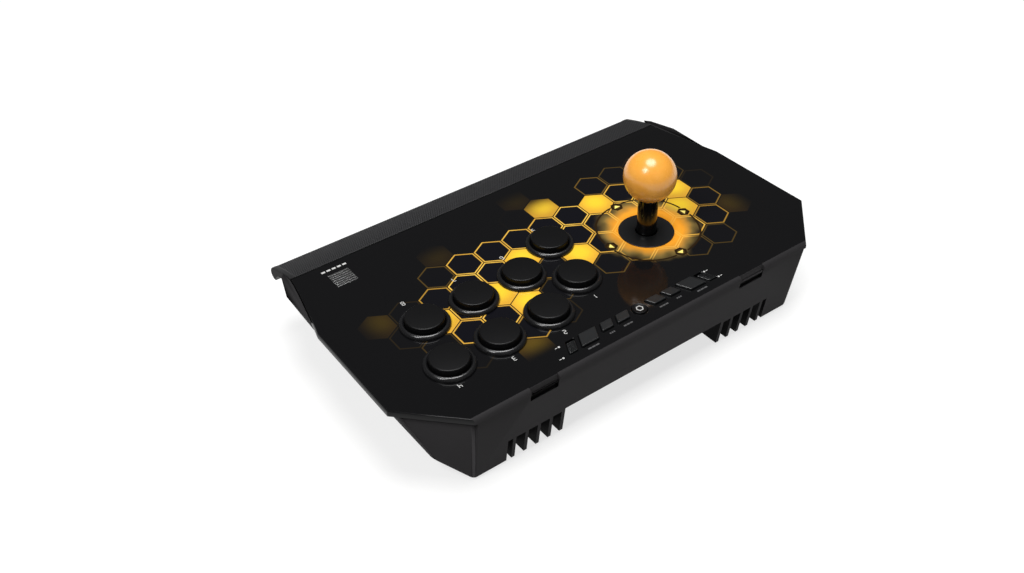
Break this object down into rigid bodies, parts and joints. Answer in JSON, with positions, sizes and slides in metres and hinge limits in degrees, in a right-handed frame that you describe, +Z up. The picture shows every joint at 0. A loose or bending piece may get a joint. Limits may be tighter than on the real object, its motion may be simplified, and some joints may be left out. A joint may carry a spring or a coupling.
{
  "type": "arcade joystick panel",
  "caption": "Low black case with a ball-top lever, two staggered rows of round play buttons, a row of small keys and slide switches, and a curled grip strip along the front edge.",
  "frame": {"origin": "middle of the overall box in plan, at the surface the feet stand on", "axes": "+X to the player's right, +Y towards the rear edge away from the player, +Z up"},
  "size_m": [0.3474, 0.213, 0.123],
  "materials": {
    "panel_gloss": "high gloss",
    "case_matte": "fine satin grain",
    "grip_plastic": "knurled satin",
    "base_matte": "matte",
    "button_cap": "satin gloss",
    "button_collar": "satin gloss",
    "key_plastic": "satin",
    "ball_yellow": "high gloss",
    "sleeve_gloss": "high gloss",
    "washer_satin": "satin",
    "inner_plastic": "moulded",
    "gimbal_plastic": "moulded",
    "pivot_plastic": "moulded",
    "steel": "turned",
    "plated_steel": "zinc plated",
    "switch_plastic": "moulded",
    "board": "solder mask",
    "rubber": "matte"
  },
  "bodies": {
    "frame": {"top_panel": "panel_gloss", "front_grip_strip": "grip_plastic", "main_case": "case_matte", "base_plate": "base_matte", "case_screws": "plated_steel", "rubber_feet": "rubber", "cable_inlet": "rubber", "rear_catches": "inner_plastic", "button_body_1": "button_collar", "button_body_2": "button_collar", "button_body_3": "button_collar", "button_body_4": "button_collar", "button_body_5": "button_collar", "button_body_6": "button_collar", "button_body_7": "button_collar", "button_body_8": "button_collar", "button_spring_1": "steel", "button_spring_2": "steel", "button_spring_3": "steel", "button_spring_4": "steel", "button_spring_5": "steel", "button_spring_6": "steel", "button_spring_7": "steel", "button_spring_8": "steel", "button_switches": "switch_plastic", "mounting_plate": "plated_steel", "stick_housing": "inner_plastic", "restrictor_gate": "pivot_plastic", "stick_switches": "inner_plastic", "stick_board": "board", "stick_screws": "plated_steel", "control_board": "board", "main_board": "board"},
    "play_button_1": {"button_plunger_1": "button_cap"},
    "play_button_2": {"button_plunger_2": "button_cap"},
    "play_button_3": {"button_plunger_3": "button_cap"},
    "play_button_4": {"button_plunger_4": "button_cap"},
    "play_button_5": {"button_plunger_5": "button_cap"},
    "play_button_6": {"button_plunger_6": "button_cap"},
    "play_button_7": {"button_plunger_7": "button_cap"},
    "play_button_8": {"button_plunger_8": "button_cap"},
    "gimbal": {"gimbal_ring": "gimbal_plastic"},
    "lever": {"ball_top": "ball_yellow", "stick_shaft": "steel", "shaft_sleeve": "sleeve_gloss", "pivot_block": "pivot_plastic", "stick_spring": "steel", "actuator": "inner_plastic", "e_clip": "steel"},
    "washer_carriage": {"under_washer": "inner_plastic"},
    "washer": {"dust_washer": "washer_satin"},
    "home_key": {"home_button": "key_plastic"},
    "option_key_1": {"option_button_1": "key_plastic"},
    "option_key_2": {"option_button_2": "key_plastic"},
    "option_key_3": {"option_button_3": "key_plastic"},
    "option_key_4": {"option_button_4": "key_plastic"},
    "option_key_5": {"option_button_5": "key_plastic"},
    "option_key_6": {"option_button_6": "key_plastic"},
    "slide_left": {"slide_knob_left": "key_plastic"},
    "slide_right": {"slide_knob_right": "key_plastic"}
  },
  "joints": [
    {"name": "press_1", "type": "slide", "parent": "frame", "child": "play_button_1", "axis": [0, 0, -1], "range_m": [0, 0.003], "stiffness_N_per_m": 180, "springref_m": -0.003, "deforming": ["button_spring_1"]},
    {"name": "press_2", "type": "slide", "parent": "frame", "child": "play_button_2", "axis": [0, 0, -1], "range_m": [0, 0.003], "stiffness_N_per_m": 180, "springref_m": -0.003, "deforming": ["button_spring_2"]},
    {"name": "press_3", "type": "slide", "parent": "frame", "child": "play_button_3", "axis": [0, 0, -1], "range_m": [0, 0.003], "stiffness_N_per_m": 180, "springref_m": -0.003, "deforming": ["button_spring_3"]},
    {"name": "press_4", "type": "slide", "parent": "frame", "child": "play_button_4", "axis": [0, 0, -1], "range_m": [0, 0.003], "stiffness_N_per_m": 180, "springref_m": -0.003, "deforming": ["button_spring_4"]},
    {"name": "press_5", "type": "slide", "parent": "frame", "child": "play_button_5", "axis": [0, 0, -1], "range_m": [0, 0.003], "stiffness_N_per_m": 180, "springref_m": -0.003, "deforming": ["button_spring_5"]},
    {"name": "press_6", "type": "slide", "parent": "frame", "child": "play_button_6", "axis": [0, 0, -1], "range_m": [0, 0.003], "stiffness_N_per_m": 180, "springref_m": -0.003, "deforming": ["button_spring_6"]},
    {"name": "press_7", "type": "slide", "parent": "frame", "child": "play_button_7", "axis": [0, 0, -1], "range_m": [0, 0.003], "stiffness_N_per_m": 180, "springref_m": -0.003, "deforming": ["button_spring_7"]},
    {"name": "press_8", "type": "slide", "parent": "frame", "child": "play_button_8", "axis": [0, 0, -1], "range_m": [0, 0.003], "stiffness_N_per_m": 180, "springref_m": -0.003, "deforming": ["button_spring_8"]},
    {"name": "lever_fore_aft", "type": "hinge", "parent": "frame", "child": "gimbal", "pos_m": [-0.061, 0.0295, 0.0425], "axis": [1, 0, 0], "range_deg": [-8.5, 8.5], "stiffness_Nm_per_rad": 1},
    {"name": "lever_side", "type": "hinge", "parent": "gimbal", "child": "lever", "pos_m": [-0.061, 0.0295, 0.0425], "axis": [0, 1, 0], "range_deg": [-8.5, 8.5], "stiffness_Nm_per_rad": 1},
    {"name": "washer_side", "type": "slide", "parent": "frame", "child": "washer_carriage", "axis": [1, 0, 0], "range_m": [-0.0028, 0.0028]},
    {"name": "washer_fore_aft", "type": "slide", "parent": "washer_carriage", "child": "washer", "axis": [0, 1, 0], "range_m": [-0.0028, 0.0028]},
    {"name": "press_home", "type": "slide", "parent": "frame", "child": "home_key", "axis": [0, 0, -1], "range_m": [0, 0.0008], "stiffness_N_per_m": 250, "springref_m": -0.001},
    {"name": "press_option_1", "type": "slide", "parent": "frame", "child": "option_key_1", "axis": [0, 0, -1], "range_m": [0, 0.0008], "stiffness_N_per_m": 250, "springref_m": -0.001},
    {"name": "press_option_2", "type": "slide", "parent": "frame", "child": "option_key_2", "axis": [0, 0, -1], "range_m": [0, 0.0008], "stiffness_N_per_m": 250, "springref_m": -0.001},
    {"name": "press_option_3", "type": "slide", "parent": "frame", "child": "option_key_3", "axis": [0, 0, -1], "range_m": [0, 0.0008], "stiffness_N_per_m": 250, "springref_m": -0.001},
    {"name": "press_option_4", "type": "slide", "parent": "frame", "child": "option_key_4", "axis": [0, 0, -1], "range_m": [0, 0.0008], "stiffness_N_per_m": 250, "springref_m": -0.001},
    {"name": "press_option_5", "type": "slide", "parent": "frame", "child": "option_key_5", "axis": [0, 0, -1], "range_m": [0, 0.0008], "stiffness_N_per_m": 250, "springref_m": -0.001},
    {"name": "press_option_6", "type": "slide", "parent": "frame", "child": "option_key_6", "axis": [0, 0, -1], "range_m": [0, 0.0008], "stiffness_N_per_m": 250, "springref_m": -0.001},
    {"name": "slide_switch_left", "type": "slide", "parent": "frame", "child": "slide_left", "axis": [0.4327, -0.9015, 0], "range_m": [0, 0.002]},
    {"name": "slide_switch_right", "type": "slide", "parent": "frame", "child": "slide_right", "axis": [-0.4327, -0.9015, 0], "range_m": [0, 0.002]}
  ],
  "couplings": [
    {"joint": "washer_side", "follows": "lever_side", "m_per_rad": 0.0177},
    {"joint": "washer_fore_aft", "follows": "lever_fore_aft", "m_per_rad": -0.0177}
  ]
}
